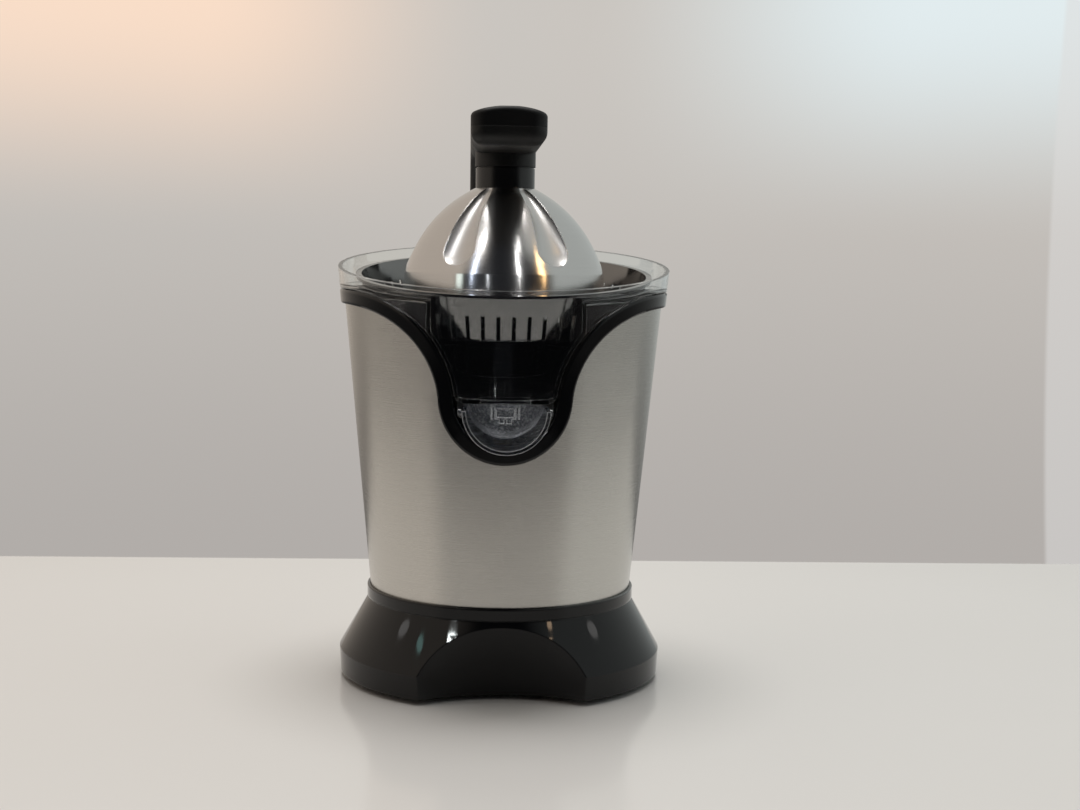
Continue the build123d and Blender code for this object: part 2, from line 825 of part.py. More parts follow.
def bowl_cradle():
    dish = bowl_form(cradle_gap + cradle_wall, cradle_gap + cradle_floor, dish_top_z)
    dish -= bowl_form(cradle_gap, cradle_gap, dish_top_z)
    dish -= above_slant(ledge_z - bowl_wall - cradle_gap)
    way = window(bowl_wall + cradle_gap)
    dish -= trim_prism(trim_band - fit_gap, slot_back_y) & way
    way_out = trim_prism(trim_band - fit_gap, 0) & way
    dish -= way_out & cone_band(-bowl_inset, trim_proud, bib_low_z, trim_top_z)
    low_z = floor_mid_z - cradle_gap - cradle_floor
    boss = spin([
        (0, low_z),
        (boss_bottom_radius, low_z),
        (boss_radius, boss_top_z),
        (0, boss_top_z),
    ])
    rib_half = boss_rib_width / 2
    rib = block(0, boss_bottom_radius + boss_rib_depth, -rib_half, rib_half, low_z, boss_top_z)
    rib &= spin([
        (0, low_z),
        (boss_bottom_radius + boss_rib_depth, low_z),
        (boss_radius + boss_rib_depth, boss_top_z),
        (0, boss_top_z),
    ])
    for turn in range(boss_rib_count):
        boss += Rot(0, 0, turn * 360 / boss_rib_count) * rib
    pad = rod(1.5 * post_radius, cradle_pad_z, floor_mid_z + reach / 4)
    under = above_slant(floor_mid_z - cradle_gap - cradle_floor / 2)
    cradle = dish + (boss & above_slant(floor_mid_z - cradle_gap - cradle_floor))
    for spot in four_corners(post_x, post_y):
        cradle += (spot * pad) - under
    cradle -= rod(spindle_radius + 2 * bush_wall, 0, boss_top_z - top_bush_length)
    cradle -= rod(spindle_radius + bush_wall, 0, boss_top_z + 1)
    return cradle


slot_back_y = spout_back_y + 4


# Strainer

strainer_floor_z = rim_centre_z - (strainer_drop + strainer_depth) / cos(radians(cant)) + strainer_wall


def canted(shape):
    """From the basket's own frame, rim centre at the origin, to the part's frame."""
    return Pos(0, 0, rim_centre_z) * Rot(cant, 0, 0) * shape


def strainer():
    top = -strainer_drop
    floor = top - strainer_depth
    wall = strainer_wall
    outer = spin([
        (0, floor),
        (strainer_bottom_radius, floor),
        (strainer_top_radius, top),
        (0, top),
    ])
    outer = fillet(outer.edges().filter_by(GeomType.CIRCLE).group_by(Axis.Z)[0], strainer_corner)
    inner = spin([
        (0, floor + wall),
        (strainer_bottom_radius - wall, floor + wall),
        (strainer_top_radius - wall, top + 1),
        (0, top + 1),
    ])
    inner = fillet(inner.edges().filter_by(GeomType.CIRCLE).group_by(Axis.Z)[0], strainer_corner - wall)
    basket = outer - inner
    flange = tube(strainer_rim_radius, strainer_top_radius - wall, top - wall, top)
    bead = tube(strainer_rim_radius, strainer_rim_radius - wall, top - strainer_bead, top)
    basket += flange + bead
    basket -= rod(strainer_hole_radius, floor - 1, floor + 2)
    slot = block(strainer_bottom_radius - 8, strainer_top_radius, -slot_width / 2, slot_width / 2,
                 floor + 2, floor + 2 + slot_height)
    cuts = [Rot(0, 0, (n + 0.5) * 360 / slot_count) * slot for n in range(slot_count)]
    length = floor_slot_outer - floor_slot_inner
    ray = extrude(SlotOverall(length, slot_width), 2.0, both=True)
    ray = Pos((floor_slot_outer + floor_slot_inner) / 2, 0, floor) * ray
    cuts += [Rot(0, 0, n * 360 / floor_slot_count) * ray for n in range(floor_slot_count)]
    return canted(basket - cuts)


# Reamer and spindle

reamer_base_z = reamer_bottom_z + reamer_skirt
reamer_foot_radius = 0.84 * reamer_radius


def reamer_profile(grow):
    """Rounded cone outline, grown outwards, standing in the skirt's disc."""
    foot = reamer_foot_radius + grow
    bulge = (0.66 * reamer_radius + grow, reamer_base_z + 0.55 * (reamer_top_z - reamer_base_z) + grow / 2)
    sunk_z = reamer_base_z - reamer_skirt / 4
    return make_face([
        Line((0, sunk_z), (foot, sunk_z)),
        Line((foot, sunk_z), (foot, reamer_base_z)),
        ThreePointArc((foot, reamer_base_z), bulge, (reamer_tip_flat, reamer_top_z + grow)),
        Line((reamer_tip_flat, reamer_top_z + grow), (0, reamer_top_z + grow)),
        Line((0, reamer_top_z + grow), (0, sunk_z)),
    ])


def reamer_cone():
    body = revolve(Plane.XZ * reamer_profile(0), Axis.Z)
    rib_form = revolve(Plane.XZ * reamer_profile(reamer_rib_height), Axis.Z)
    half = reamer_rib_width / 2
    fin = block(reamer_tip_radius, reamer_radius, -half, half, reamer_bottom_z, reamer_top_z) & rib_form
    for turn in range(reamer_rib_count):
        body += Rot(0, 0, turn * 360 / reamer_rib_count) * fin
    body += rod(reamer_radius, reamer_bottom_z, reamer_base_z)
    hollow = revolve(Plane.XZ * reamer_profile(-reamer_wall), Axis.Z)
    hollow &= block(-reach, reach, -reach, reach, 0, spindle_top_z)
    hollow += rod(reamer_foot_radius - reamer_wall, 0, reamer_base_z)
    hollow += rod(reamer_radius - reamer_wall, 0, reamer_base_z - reamer_wall)
    body -= hollow
    body += rod(reamer_hub_radius, reamer_hub_bottom_z, spindle_top_z + reamer_wall)
    return body - spindle_shape(running_gap, 0, spindle_top_z + running_gap)


def spindle_shape(grow, z0, z1):
    """Round shaft with two flats that carry the drive."""
    half = spindle_flat + grow
    flats = block(-half, half, -reach, reach, z0, z1)
    return rod(spindle_radius + grow, z0, z1) & flats


def drive_spindle():
    """Shaft with drive flats below and above, and a round journal in its bushes."""
    journal_low = rod(spindle_radius, spindle_bottom_z, bush_flange_top_z)
    journal_bottom_z = output_hub_top_z + press_travel + fit_gap
    journal_high = rod(spindle_radius, journal_bottom_z, reamer_hub_bottom_z - fit_gap)
    return spindle_shape(0, spindle_bottom_z, spindle_top_z) + journal_low + journal_high


# Gear train: motor pinion, idler with wheel and pinion, output wheel

wheel_radius = gear_module * wheel_teeth / 2
pinion_radius = gear_module * pinion_teeth / 2
gear_spread = wheel_radius + pinion_radius
plate_top_z = plate_bottom_z + plate_thickness
wheel_z = plate_top_z + stage_gap
output_bottom_z = wheel_z + wheel_width + stage_gap + 1
output_top_z = output_bottom_z + output_width
output_hub_top_z = gear_cover_top_z - plate_thickness - fit_gap
idler_x = gear_spread * cos(radians(train_angle))
idler_y = gear_spread * sin(radians(train_angle))
motor_y = 2 * idler_y


def involute(angle):
    return tan(angle) - angle


def gear_face(teeth):
    """Involute tooth outline with a tooth on the +X axis."""
    pitch = gear_module * teeth / 2
    flank_angle = radians(pressure_angle)
    base = pitch * cos(flank_angle)
    tip = pitch + gear_module
    root = pitch - 1.25 * gear_module
    half = pi / (2 * teeth) - gear_backlash / (2 * pitch)
    start = max(base, root + 0.01)

    def half_angle(radius):
        return half + involute(flank_angle) - involute(acos(min(1, base / radius)))

    def polar(radius, angle):
        return radius * cos(angle), radius * sin(angle)

    radii = [start + (tip - start) * n / 3 for n in range(4)]
    edges = []
    step = 2 * pi / teeth
    for n in range(teeth):
        mid = n * step
        right = [polar(r, mid - half_angle(r)) for r in radii]
        left = [polar(r, mid + half_angle(r)) for r in reversed(radii)]
        foot_right = polar(root, mid - half_angle(start))
        foot_left = polar(root, mid + half_angle(start))
        next_foot = polar(root, mid + step - half_angle(start))
        edges.append(Line(foot_right, right[0]))
        edges.append(Spline(*right))
        edges.append(ThreePointArc(right[-1], polar(tip, mid), left[0]))
        edges.append(Spline(*left))
        edges.append(Line(left[-1], foot_left))
        edges.append(ThreePointArc(foot_left, polar(root, mid + step / 2), next_foot))
    return make_face(edges)


def gear(teeth, z0, z1, phase):
    return Pos(0, 0, z0) * Rot(0, 0, phase) * extrude(gear_face(teeth), z1 - z0)


def output_gear():
    wheel = gear(wheel_teeth, output_bottom_z, output_top_z, train_angle)
    wheel += rod(spindle_radius + bush_flange_wall, bush_flange_top_z + fit_gap, output_bottom_z)
    wheel += rod(2 * spindle_radius, output_top_z, output_hub_top_z)
    web = tube(wheel_radius - 4, 3 * spindle_radius, output_bottom_z - 1, output_bottom_z + output_width / 3)
    wheel -= web
    return wheel - spindle_shape(running_gap, 0, tool_top_z)


def idler_gear():
    wheel = gear(wheel_teeth, wheel_z, wheel_z + wheel_width, 180 - train_angle)
    pinion_phase = 180 + train_angle + 180 / pinion_teeth
    wheel += gear(pinion_teeth, wheel_z + wheel_width, output_top_z + 1, pinion_phase)
    wheel -= tube(wheel_radius - 4, pinion_radius + 3, wheel_z - 1, wheel_z + wheel_width / 3)
    wheel -= rod(idler_pin_radius + running_gap, 0, tool_top_z)
    return Pos(idler_x, idler_y, 0) * wheel


def idler_pin():
    pin = rod(idler_pin_radius, plate_bottom_z, gear_cover_top_z)
    pin += rod(2 * idler_pin_radius, plate_top_z, wheel_z - fit_gap)
    return Pos(idler_x, idler_y, 0) * pin


def motor_pinion():
    phase = -train_angle + 180 / pinion_teeth
    pinion = gear(pinion_teeth, wheel_z, wheel_z + wheel_width + 1, phase)
    pinion -= rod(motor_shaft_radius, 0, tool_top_z)
    return Pos(0, motor_y, 0) * pinion


# Gearbox plates, posts and bushes

bush_flange_top_z = plate_top_z + bush_flange_height


def gear_plate():
    plate = rod(plate_radius, plate_bottom_z, plate_top_z)
    plate -= rod(spindle_radius + bush_wall, 0, tool_top_z)
    plate -= Pos(idler_x, idler_y, 0) * rod(idler_pin_radius, 0, tool_top_z)
    plate -= Pos(0, motor_y, 0) * rod(motor_shaft_radius + 2, 0, tool_top_z)
    for spot in gear_screw_spots() + motor_bolt_spots():
        plate -= spot * rod(screw_radius, 0, tool_top_z)
    return plate


def gear_well(grow):
    """Space that the gears turn in, grown outwards."""
    room = gear_module + cover_inner_gap + grow
    top_z = gear_cover_top_z - plate_thickness + grow
    well = rod(wheel_radius + room, plate_top_z, top_z)
    well += Pos(idler_x, idler_y, 0) * well
    return well + Pos(0, motor_y, 0) * rod(pinion_radius + room, plate_top_z, top_z)


def gear_screw_spots():
    """Three lugs round the gearbox, on the output wheel's free side."""
    radius = wheel_radius + gear_module + cover_inner_gap + cover_wall + screw_head_radius
    return [Rot(0, 0, turn) * Pos(radius, 0, 0) for turn in gear_lug_turns]


def gear_cover():
    cap = plate_thickness - cover_wall
    cover = gear_well(cover_wall) + Pos(0, 0, cap) * gear_well(cover_wall)
    lug = rod(screw_head_radius + 1, plate_top_z, plate_top_z + 3 * plate_thickness)
    for spot in gear_screw_spots():
        cover += spot * lug
    cover -= gear_well(0)
    cover -= rod(spindle_radius + bush_wall, 0, tool_top_z)
    cover -= Pos(idler_x, idler_y, 0) * rod(idler_pin_radius, 0, tool_top_z)
    for spot in gear_screw_spots():
        cover -= spot * rod(screw_radius, 0, plate_top_z + 2 * plate_thickness)
    return cover


def gear_screws():
    piece = Pos(0, 0, plate_bottom_z) * screw(plate_thickness + 2 * plate_thickness)
    return [spot * piece for spot in gear_screw_spots()]


def lower_posts():
    post = extrude(RegularPolygon(post_radius, 6), plate_bottom_z - shelf_top_z)
    return [spot * Pos(0, 0, shelf_top_z) * post for spot in four_corners(post_x, post_y)]


def upper_posts():
    post = extrude(RegularPolygon(post_radius, 6), cradle_pad_z - plate_top_z)
    return [spot * Pos(0, 0, plate_top_z) * post for spot in four_corners(post_x, post_y)]


def bush(z0, z1, flange_z, flange_height):
    ring = tube(spindle_radius + bush_wall, spindle_radius + running_gap, z0, z1)
    if flange_height > 0:
        lip = spindle_radius + bush_flange_wall
        ring += tube(lip, spindle_radius + running_gap, flange_z, flange_z + flange_height)
    return ring


def spindle_bushes():
    lower = bush(plate_bottom_z, plate_top_z, plate_top_z, bush_flange_top_z - plate_top_z)
    cover_low = gear_cover_top_z - plate_thickness
    middle = bush(cover_low, cover_low + cover_bush_length, 0, 0)
    upper = bush(boss_top_z - top_bush_length, boss_top_z, 0, 0)
    return [lower, middle, upper]


def spindle_seal():
    """Lip seal on top of the cradle's boss."""
    return tube(boss_radius - 1, spindle_radius + 4 * running_gap, boss_top_z, boss_top_z + seal_height)


# Motor, hung under the gear plate behind the spindle

stator_top_z = stator_bottom_z + stator_height


def at_motor(shape):
    return Pos(0, motor_y, 0) * shape


def motor_bolt_spots():
    offset = stator_size / 2 - bracket_leg / 2
    return [Pos(sx * offset, motor_y + sy * offset, 0) for sx in (-1, 1) for sy in (-1, 1)]


def motor_stator():
    half = stator_size / 2
    stack = block(-half, half, -half, half, stator_bottom_z, stator_top_z)
    stack = fillet(stack.edges().filter_by(Axis.Z), 3.0)
    stack -= rod(stator_bore, 0, tool_top_z)
    stack = at_motor(stack)
    for spot in motor_bolt_spots():
        stack -= spot * rod(screw_radius, 0, tool_top_z)
    return stack


def motor_coils():
    """End windings above and below the stack."""
    ring = tube(coil_outer_radius, coil_inner_radius, 0, coil_height)
    ring = fillet(ring.edges().filter_by(GeomType.CIRCLE).group_by(Axis.Z)[-1], 3.0)
    upper = Pos(0, 0, stator_top_z) * ring
    lower = Pos(0, 0, stator_bottom_z) * Rot(180, 0, 0) * ring
    return [at_motor(upper), at_motor(lower)]


def motor_rotor():
    return at_motor(tube(rotor_radius, motor_shaft_radius, stator_bottom_z - 2, stator_top_z + 2))


def motor_shaft():
    return at_motor(rod(motor_shaft_radius, motor_shaft_bottom_z, wheel_z + wheel_width + 1))


def bracket(plate_z, leg_z):
    """Bearing bracket: a square plate with a leg at each corner."""
    half = stator_size / 2
    low, high = sorted((plate_z, leg_z))
    frame = block(-half, half, -half, half, low, high)
    sign = 1 if leg_z > plate_z else -1
    cut_low, cut_high = sorted((plate_z + sign * bracket_thickness, leg_z + sign))
    frame -= block(-half - 1, half + 1, -half + bracket_leg, half - bracket_leg, cut_low, cut_high)
    frame -= block(-half + bracket_leg, half - bracket_leg, -half - 1, half + 1, cut_low, cut_high)
    hub_low, hub_high = sorted((plate_z, plate_z + sign * bearing_width))
    frame += rod(bearing_radius + 3, hub_low, hub_high)
    frame -= rod(bearing_radius, low - 1, high + 1)
    frame = at_motor(frame)
    for spot in motor_bolt_spots():
        frame -= spot * rod(screw_radius, 0, tool_top_z)
    return frame


def motor_brackets():
    lower_z = stator_bottom_z - bracket_reach - bracket_thickness
    return [bracket(plate_bottom_z, stator_top_z), bracket(lower_z, stator_bottom_z)]


def motor_bearings():
    ring = tube(bearing_radius, motor_shaft_radius + running_gap, 0, bearing_width)
    lower_z = stator_bottom_z - bracket_reach - bracket_thickness
    return [at_motor(Pos(0, 0, plate_bottom_z - bearing_width) * ring), at_motor(Pos(0, 0, lower_z) * ring)]


def motor_bolts():
    lower_z = stator_bottom_z - bracket_reach - bracket_thickness
    piece = Pos(0, 0, lower_z) * screw(plate_top_z - lower_z)
    return [spot * piece for spot in motor_bolt_spots()]


def motor_fan():
    top = stator_bottom_z - bracket_reach - bracket_thickness - 2
    fan = rod(fan_radius, top - 1.5, top) + rod(2 * motor_shaft_radius, top - fan_height, top)
    blade = block(2 * motor_shaft_radius - 1, fan_radius, -0.8, 0.8, top - fan_height, top)
    for turn in range(fan_blade_count):
        fan += Rot(0, 0, turn * 360 / fan_blade_count) * blade
    return at_motor(fan - rod(motor_shaft_radius, 0, tool_top_z))


# Press switch under the spindle

leaf_top_z = spindle_bottom_z - fit_gap
switch_lever_top_z = leaf_top_z - leaf_thickness - switch_leaf_gap
switch_body_top_z = switch_lever_top_z - switch_plate - fit_gap
switch_pivot_y = switch_y + switch_size_y / 2 - 2 * switch_pin_radius
switch_pivot_z = switch_body_top_z - 2 * switch_pin_radius
switch_hanger = 4.0


def switch_body():
    """Switch hung under the gear plate on two straps beside the leaf, forked for its lever."""
    half = switch_size_x / 2
    y0 = switch_y - switch_size_y / 2
    body = block(-half, half, y0, y0 + switch_size_y, switch_body_top_z - switch_size_z, switch_body_top_z)
    strap = block(-half, half, y0, y0 + switch_hanger, switch_body_top_z, plate_bottom_z)
    slot = leaf_width / 2 + fit_gap
    body += strap - block(-slot, slot, y0, y0 + switch_hanger, switch_body_top_z, plate_bottom_z)
    body -= block(-slot, slot, switch_pivot_y - switch_hanger, reach, 0, plate_bottom_z)
    return body - cross_rod(switch_pin_radius, -half - 1, half + 1, switch_pivot_y, switch_pivot_z)


def switch_lever():
    half = leaf_width / 2
    tip_y = switch_pivot_y + switch_lever_length
    lever = block(-half, half, switch_pivot_y, tip_y, switch_lever_top_z - switch_plate, switch_lever_top_z)
    lever += cross_rod(2 * switch_pin_radius, -half, half, switch_pivot_y, switch_pivot_z)
    lever += block(-half, half, switch_pivot_y - switch_plate, switch_pivot_y + switch_plate,
                   switch_pivot_z, switch_lever_top_z)
    bore = switch_pin_radius + running_gap
    return lever - cross_rod(bore, -half - 1, half + 1, switch_pivot_y, switch_pivot_z)


def switch_pin():
    half = switch_size_x / 2
    return cross_rod(switch_pin_radius, -half, half, switch_pivot_y, switch_pivot_z)


def press_spring():
    """Leaf spring fixed under the gear plate, with its tip under the spindle's end."""
    half = leaf_width / 2
    low_z = leaf_top_z - leaf_thickness
    step_y = leaf_fixed_y + leaf_width
    fixed = block(-half, half, leaf_fixed_y, step_y, plate_bottom_z - leaf_thickness, plate_bottom_z)
    riser = block(-half, half, step_y - leaf_thickness, step_y, low_z, plate_bottom_z)
    blade = block(-half, half, step_y - leaf_thickness, spindle_radius, low_z, leaf_top_z)
    return fixed + riser + blade


# Dome and its neck

def dome_centre(radius):
    """Centre of the dome's meridian arc, through the neck edge and the shoulder."""
    ax, az = dome_neck_radius, dome_neck_z
    bx, bz = dome_mid_radius, dome_mid_z
    chord = hypot(bx - ax, bz - az)
    rise = sqrt(radius ** 2 - (chord / 2) ** 2)
    nx, nz = (bz - az) / chord, -(bx - ax) / chord
    return (ax + bx) / 2 + nx * rise, (az + bz) / 2 + nz * rise


def dome_point(radius, lift):
    """Point on the dome's meridian at a radius, lifted off the surface."""
    cx, cz = dome_centre(dome_arc_radius)
    angle = acos((radius - cx) / dome_arc_radius)
    reach_out = dome_arc_radius + lift
    return cx + reach_out * cos(angle), cz + reach_out * sin(angle)


def dome_form(shrink):
    cx, cz = dome_centre(dome_arc_radius)
    radius = dome_arc_radius - shrink
    top = (dome_neck_radius, cz + sqrt(radius ** 2 - (dome_neck_radius - cx) ** 2))
    low = (cx + sqrt(radius ** 2 - (dome_mid_z - cz) ** 2), dome_mid_z)
    middle_radius = (top[0] + low[0]) / 2
    via = (middle_radius, cz + sqrt(radius ** 2 - (middle_radius - cx) ** 2))
    edge = (dome_edge_radius - shrink, dome_bottom_z)
    half_way = ((low[0] + edge[0]) / 2 + 0.25, (low[1] + edge[1]) / 2)
    face = make_face([
        Line((0, dome_bottom_z), edge),
        ThreePointArc(edge, half_way, low),
        ThreePointArc(low, via, top),
        Line(top, (0, top[1])),
        Line((0, top[1]), (0, dome_bottom_z)),
    ])
    return revolve(Plane.XZ * face, Axis.Z)


def flute_cutter(grow):
    """Waisted teardrop tool over the dome's meridian, small end up, grown outwards."""
    ax, az = dome_point(flute_inner_radius, flute_small_lift)
    bx, bz = dome_point(flute_outer_radius, flute_big_lift)
    length = hypot(bx - ax, bz - az)
    lean = degrees(atan2(bx - ax, az - bz))
    big = flute_big_radius + grow
    small = flute_small_radius + grow
    shoulder = radians(flute_shoulder)
    turn = (shoulder - pi / 2) / 2
    neck = (big * cos(shoulder), big * sin(shoulder))
    face = make_face([
        ThreePointArc((0, -big), (big * cos(turn), big * sin(turn)), neck),
        TangentArc(neck, (small, length), tangent=(-sin(shoulder), cos(shoulder))),
        ThreePointArc((small, length), (small * sqrt(0.5), length + small * sqrt(0.5)), (0, length + small)),
        Line((0, length + small), (0, -big)),
    ])
    return Pos(bx, 0, bz) * Rot(0, -lean, 0) * revolve(Plane.XZ * face, Axis.Z)


def fluted(form, grow):
    tool = flute_cutter(grow)
    for turn in range(flute_count):
        form -= Rot(0, 0, turn * 360 / flute_count) * tool
    return form


def press_dome():
    dome = fluted(dome_form(0), 0) - fluted(dome_form(dome_wall), dome_wall)
    return dome - rod(dome_screw_radius + fit_gap, dome_bottom_z, tool_top_z)


def dome_collar():
    """Neck between dome and lever, with a shadow groove at its top."""
    groove_z = collar_top_z - collar_groove
    collar = spin([
        (0, dome_neck_z),
        (dome_neck_radius, dome_neck_z),
        (dome_neck_radius, groove_z),
        (dome_neck_radius - collar_groove, groove_z),
        (dome_neck_radius - collar_groove, collar_top_z),
        (0, collar_top_z),
    ])
    return collar - rod(dome_screw_radius + fit_gap, 0, 2 * tool_top_z)




def dome_washer():
    return tube(3 * dome_screw_radius, dome_screw_radius + fit_gap,
                dome_under_z() - washer_height, dome_under_z())


def dome_under_z():
    """Height of the dome's inner top face."""
    cx, cz = dome_centre(dome_arc_radius)
    return cz + sqrt((dome_arc_radius - dome_wall) ** 2 - (dome_neck_radius - cx) ** 2)


def dome_screw():
    head_z = dome_under_z() - washer_height
    head = extrude(RegularPolygon(1.8 * dome_screw_radius, 6), dome_screw_head)
    shank = rod(dome_screw_radius, head_z, arm_belly_z + dome_screw_grip)
    return Pos(0, 0, head_z - dome_screw_head) * head + shank


# Lever: a frame with belly, boss and leg, and a cover on top

arm_half = arm_width / 2
leg_front_y = hinge_y - knuckle_radius
leg_back_y = hinge_y + knuckle_radius


def arm_side_face(inset):
    """Side outline of the whole lever, moved in by inset."""
    bend = arm_bend_radius - inset
    bend_y = leg_back_y - arm_bend_radius
    bend_z = arm_top_z - arm_bend_radius
    inner = arm_inner_bend + inset
    corner_y = leg_front_y + inset - inner
    belly = arm_belly_z + inset
    corner_z = belly - inner
    diagonal = sqrt(0.5)
    front = arm_front_y + inset
    return make_face([
        Line((front, belly), (front, arm_top_z - inset)),
        Line((front, arm_top_z - inset), (bend_y, arm_top_z - inset)),
        ThreePointArc((bend_y, arm_top_z - inset), (bend_y + bend * diagonal, bend_z + bend * diagonal),
                      (leg_back_y - inset, bend_z)),
        Line((leg_back_y - inset, bend_z), (leg_back_y - inset, hinge_z)),
        Line((leg_back_y - inset, hinge_z), (leg_front_y + inset, hinge_z)),
        Line((leg_front_y + inset, hinge_z), (leg_front_y + inset, corner_z)),
        ThreePointArc((leg_front_y + inset, corner_z),
                      (corner_y + inner * diagonal, corner_z + inner * diagonal), (corner_y, belly)),
        Line((corner_y, belly), (front, belly)),
    ])


def crown_bar(inset):
    """Bar along the lever with an arched top and rounded plan corners in front."""
    half = arm_half - inset
    top = arm_top_z - inset + crown_flat
    side = top - arm_crown
    face = make_face([
        ThreePointArc((-half, side), (0, top), (half, side)),
        Line((half, side), (half, hinge_z - knuckle_radius)),
        Line((half, hinge_z - knuckle_radius), (-half, hinge_z - knuckle_radius)),
        Line((-half, hinge_z - knuckle_radius), (-half, side)),
    ])
    length = leg_back_y + knuckle_radius - arm_front_y - inset
    bar = Pos(0, leg_back_y + knuckle_radius, 0) * extrude(Plane.XZ * face, length)
    front = bar.edges().filter_by(Axis.Z).group_by(Axis.Y)[0]
    bar = fillet(front, cover_corner_radius - inset)
    rim = [e for e in bar.edges() if e.center().Z > side - 0.2 and e.center().Y < leg_back_y]
    return fillet(rim, cover_edge_radius - inset)


def lever_form(inset):
    """Lever's outside, moved in by inset: rounded round the belly and down the leg's front."""
    form = extrude(Plane.YZ * arm_side_face(inset), arm_half - inset, both=True) & crown_bar(inset)
    belly = arm_belly_z + inset
    under = []
    for edge in form.edges():
        spot = edge.position_at(0.5)
        on_side = abs(abs(spot.X) - arm_half + inset) < fit_gap / 10
        on_belly = abs(spot.Z - belly) < fit_gap / 10
        on_leg = hinge_z < spot.Z < belly and spot.Y < leg_front_y + inset + fit_gap
        if on_side and (on_belly or on_leg):
            under.append(edge)
        elif on_belly and spot.Y < arm_front_y + cover_corner_radius:
            under.append(edge)
    return fillet(under, arm_edge_radius - inset)


def above_part():
    return block(-reach, reach, -reach, reach, arm_part_z, 2 * tool_top_z)


def lever_cover():
    form = lever_form(0)
    cover = (form & above_part()) - lever_form(arm_wall)
    boss = rod(screw_head_radius, arm_part_z, arm_top_z)
    for spot in lever_screw_spots():
        cover += (spot * boss) & form
        cover -= spot * rod(screw_radius, 0, arm_part_z + 2 * arm_wall)
    return cover


def lever_arm():
    arm = lever_form(0) - above_part()
    hollow_end_y = leg_front_y - arm_inner_bend
    arm -= lever_form(arm_wall) & block(-reach, reach, -reach, hollow_end_y, 0, 2 * tool_top_z)
    arm += cross_rod(knuckle_radius, -arm_half, arm_half, hinge_y, hinge_z)
    arm += rod(arm_boss_radius, collar_top_z, arm_belly_z + arm_wall)
    arm += rod(dome_screw_radius + arm_wall, arm_belly_z, arm_belly_z + dome_screw_grip + arm_wall)
    arm -= rod(dome_screw_radius, 0, arm_belly_z + dome_screw_grip)
    arm -= cross_rod(hinge_pin_radius, -reach, reach, hinge_y, hinge_z)
    for spot in lever_screw_spots():
        arm += spot * rod(screw_head_radius + screw_boss_wall, arm_belly_z + arm_wall / 2, arm_part_z)
        arm -= spot * rod(screw_radius, 0, tool_top_z * 2)
        arm -= spot * rod(screw_head_radius + fit_gap, 0, lever_screw_seat_z)
    return arm


def lever_screw_spots():
    return [Pos(sx * (arm_half - 3 * arm_wall), y, 0) for sx in (-1, 1) for y in lever_screw_rows]


lever_screw_seat_z = arm_belly_z + 2 * screw_head_height


def lever_screws():
    piece = Pos(0, 0, lever_screw_seat_z) * screw(arm_part_z - lever_screw_seat_z + 2 * arm_wall)
    return [spot * piece for spot in lever_screw_spots()]


def hinge_pin():
    half = hinge_block_half
    return cross_rod(hinge_pin_radius, -half, half, hinge_y, hinge_z)


def hinge_bushes():
    inner = arm_half + hinge_ear_gap
    bushes = []
    for side in (-1, 1):
        low, high = sorted((side * inner, side * (inner + hinge_ear_width)))
        ring = cross_rod(hinge_bush_radius, low, high, hinge_y, hinge_z)
        bushes.append(ring - cross_rod(hinge_pin_radius + running_gap, low - 1, high + 1, hinge_y, hinge_z))
    return bushes


PIECES = [
    base_shell, base_plate, rubber_feet, base_screws, cord_gland,
    steel_sleeve, upper_housing, bowl_cradle,
    juice_bowl, juice_spout, spout_catch, strainer,
    reamer_cone, drive_spindle, spindle_bushes, spindle_seal,
    output_gear, idler_gear, idler_pin, gear_plate, gear_cover, gear_screws, lower_posts, upper_posts,
    motor_stator, motor_coils, motor_rotor, motor_shaft, motor_pinion, motor_brackets, motor_bearings,
    motor_bolts, motor_fan,
    press_spring, switch_body, switch_lever, switch_pin,
    press_dome, dome_collar, dome_washer, dome_screw,
    lever_arm, lever_cover, lever_screws, hinge_pin, hinge_bushes,
]


def solids_of(made):
    """All the solids of one node, whether a function gave one shape or a list."""
    shapes = made if isinstance(made, list) else [made]
    return [solid for shape in shapes for solid in shape.solids()]


os.makedirs("parts", exist_ok=True)
for piece in PIECES:
    found = solids_of(piece())
    export_step(found[0] if len(found) == 1 else Compound(children=found), f"parts/{piece.__name__}.step")
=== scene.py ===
import json
import math

import bpy
from mathutils import Matrix, Quaternion, Vector


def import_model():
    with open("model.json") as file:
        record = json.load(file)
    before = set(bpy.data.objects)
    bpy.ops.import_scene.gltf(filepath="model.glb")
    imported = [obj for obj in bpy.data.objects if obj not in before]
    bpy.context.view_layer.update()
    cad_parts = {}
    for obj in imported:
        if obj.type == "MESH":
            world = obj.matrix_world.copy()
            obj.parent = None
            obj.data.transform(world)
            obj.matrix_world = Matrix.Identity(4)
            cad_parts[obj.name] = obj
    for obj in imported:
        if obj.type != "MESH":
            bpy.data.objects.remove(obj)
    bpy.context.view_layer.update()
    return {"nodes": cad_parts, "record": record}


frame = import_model()
nodes = frame["nodes"]
MM = 0.001

# Places on the part that the masks follow, in metres, from this build's sizes
DOME_ARC_BACK = 16.18 * MM
DOME_ARC_Z = 224.06 * MM
FLUTE_SKIN = (78.5 * MM, 79.0 * MM)
FLUTE_LOW_END = (21.5 * MM, 23.0 * MM)
RIM_SLOPE = 0.1228
RIM_TOP = (0.2476, 0.2482)
SPOUT_AXIS_Z = 0.176
SPOUT_BACK_Y = (-0.0885, -0.0865)
SPOUT_LIP_Y = (-0.1164, -0.1150)

# Parts of a noise's range that are spread over the whole of a ramp
NARROW = (0.35, 0.65)
WIDE = (0.3, 0.7)

CLEAR_IOR = 1.46
LAMP_AIM = Vector((0.0, 0.0, 0.2))
LAMP_DISTANCE = 1.8


# Node tree helpers

